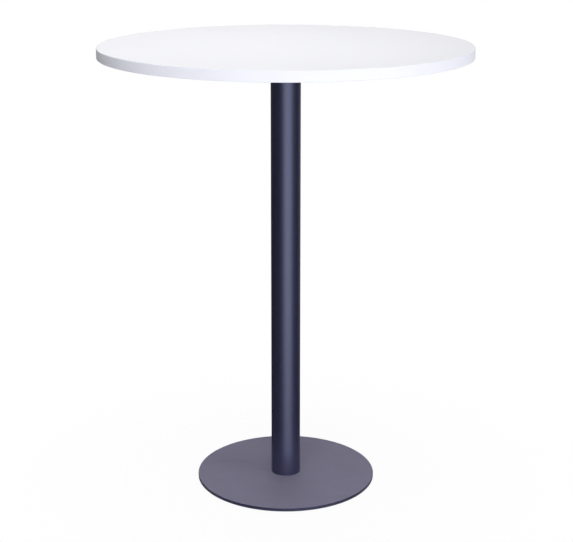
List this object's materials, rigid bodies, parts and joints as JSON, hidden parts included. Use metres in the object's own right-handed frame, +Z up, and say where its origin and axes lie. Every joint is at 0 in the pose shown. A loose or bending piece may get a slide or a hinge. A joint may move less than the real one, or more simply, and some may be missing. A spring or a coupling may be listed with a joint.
{
  "type": "pub table",
  "caption": "Bar-height pedestal table with a round white laminate top, a slim round steel column and a thin round steel base disc on levelling glides.",
  "frame": {"origin": "on the floor, at the middle of the base disc, under the column's axis", "axes": "+Z up along the column; -Y to the front and +Y to the rear, where the edge band's seam is"},
  "size_m": [0.8999, 0.8999, 1.11],
  "materials": {
    "white_laminate": "satin white high-pressure laminate with a very fine texture",
    "white_edge_band": "satin white ABS edge band",
    "particleboard": "pressed wood chips",
    "black_powder_coat": "satin near-black powder coat on steel",
    "zinc_plated_steel": "bright zinc plating",
    "bare_steel": "cut and welded steel",
    "black_nylon": "moulded nylon"
  },
  "bodies": {
    "table": {"table_top_laminate": "white_laminate", "table_top_core": "particleboard", "table_top_backer": "white_laminate", "table_top_edge_band": "white_edge_band", "mounting_plate": "black_powder_coat", "plate_wood_screws": "zinc_plated_steel", "plate_column_screws": "zinc_plated_steel", "column_tube": "black_powder_coat", "column_top_plug": "bare_steel", "top_plug_weld": "bare_steel", "column_bottom_plug": "bare_steel", "bottom_plug_weld": "bare_steel", "base_disc": "black_powder_coat", "base_column_screws": "zinc_plated_steel"},
    "glide_1_screw": {"glide_1_stud": "zinc_plated_steel"},
    "glide_1_foot": {"glide_1_pad": "black_nylon"},
    "glide_2_screw": {"glide_2_stud": "zinc_plated_steel"},
    "glide_2_foot": {"glide_2_pad": "black_nylon"},
    "glide_3_screw": {"glide_3_stud": "zinc_plated_steel"},
    "glide_3_foot": {"glide_3_pad": "black_nylon"},
    "glide_4_screw": {"glide_4_stud": "zinc_plated_steel"},
    "glide_4_foot": {"glide_4_pad": "black_nylon"}
  },
  "joints": [
    {"name": "glide_1_travel", "type": "slide", "parent": "table", "child": "glide_1_screw", "axis": [0, 0, -1], "range_m": [0, 0.003]},
    {"name": "glide_1_turn", "type": "hinge", "parent": "glide_1_screw", "child": "glide_1_foot", "pos_m": [0.14142, 0.14142, 0], "axis": [0, 0, -1], "range_deg": [0, 864]},
    {"name": "glide_2_travel", "type": "slide", "parent": "table", "child": "glide_2_screw", "axis": [0, 0, -1], "range_m": [0, 0.003]},
    {"name": "glide_2_turn", "type": "hinge", "parent": "glide_2_screw", "child": "glide_2_foot", "pos_m": [-0.14142, 0.14142, 0], "axis": [0, 0, -1], "range_deg": [0, 864]},
    {"name": "glide_3_travel", "type": "slide", "parent": "table", "child": "glide_3_screw", "axis": [0, 0, -1], "range_m": [0, 0.003]},
    {"name": "glide_3_turn", "type": "hinge", "parent": "glide_3_screw", "child": "glide_3_foot", "pos_m": [-0.14142, -0.14142, 0], "axis": [0, 0, -1], "range_deg": [0, 864]},
    {"name": "glide_4_travel", "type": "slide", "parent": "table", "child": "glide_4_screw", "axis": [0, 0, -1], "range_m": [0, 0.003]},
    {"name": "glide_4_turn", "type": "hinge", "parent": "glide_4_screw", "child": "glide_4_foot", "pos_m": [0.14142, -0.14142, 0], "axis": [0, 0, -1], "range_deg": [0, 864]}
  ],
  "couplings": [
    {"joint": "glide_1_travel", "follows": "glide_1_turn", "m_per_rad": 0.00019894},
    {"joint": "glide_2_travel", "follows": "glide_2_turn", "m_per_rad": 0.00019894},
    {"joint": "glide_3_travel", "follows": "glide_3_turn", "m_per_rad": 0.00019894},
    {"joint": "glide_4_travel", "follows": "glide_4_turn", "m_per_rad": 0.00019894}
  ]
}
